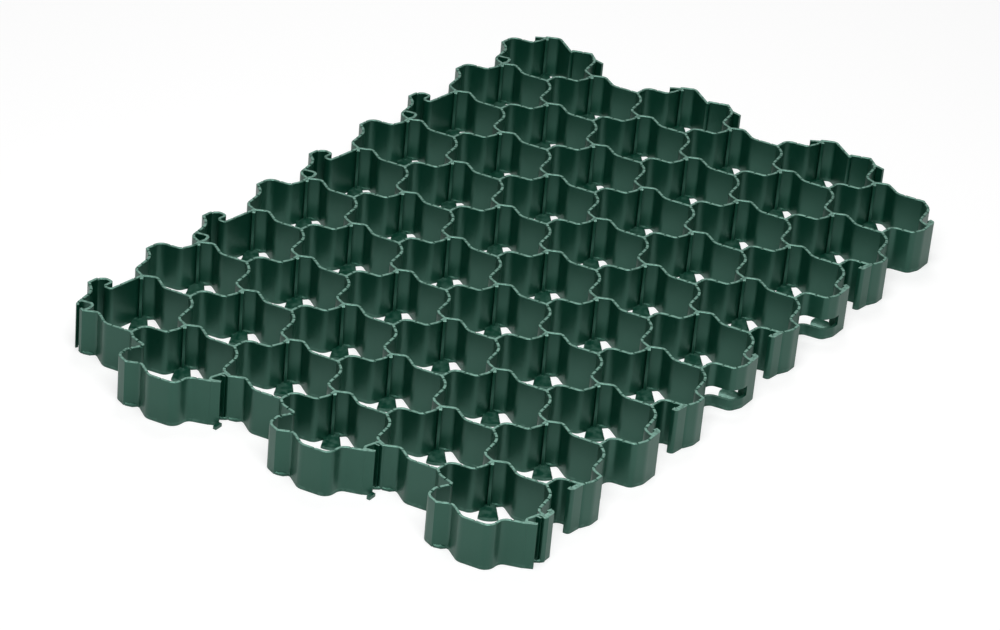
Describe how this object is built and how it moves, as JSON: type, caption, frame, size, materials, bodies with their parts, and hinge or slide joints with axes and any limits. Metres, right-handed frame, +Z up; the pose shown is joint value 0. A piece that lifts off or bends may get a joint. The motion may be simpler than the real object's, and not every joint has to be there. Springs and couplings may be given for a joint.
{
  "type": "grass paver grid",
  "caption": "Plastic ground grid sheet of open cells with S-bent walls, floor tongues and clip-together edges, laid on a bed and filled with soil for drivable turf.",
  "frame": {"origin": "middle of the overall outline, on the ground face", "axes": "+X along the long side towards the barbed short edge, +Y across the cell columns towards the hooked long edge, +Z up from the ground to the rim"},
  "size_m": [0.6268, 0.4146, 0.035],
  "materials": {
    "green_plastic": "satin moulded polyethylene, dark green"
  },
  "bodies": {
    "root": {"paver_grid": "green_plastic"}
  },
  "joints": []
}
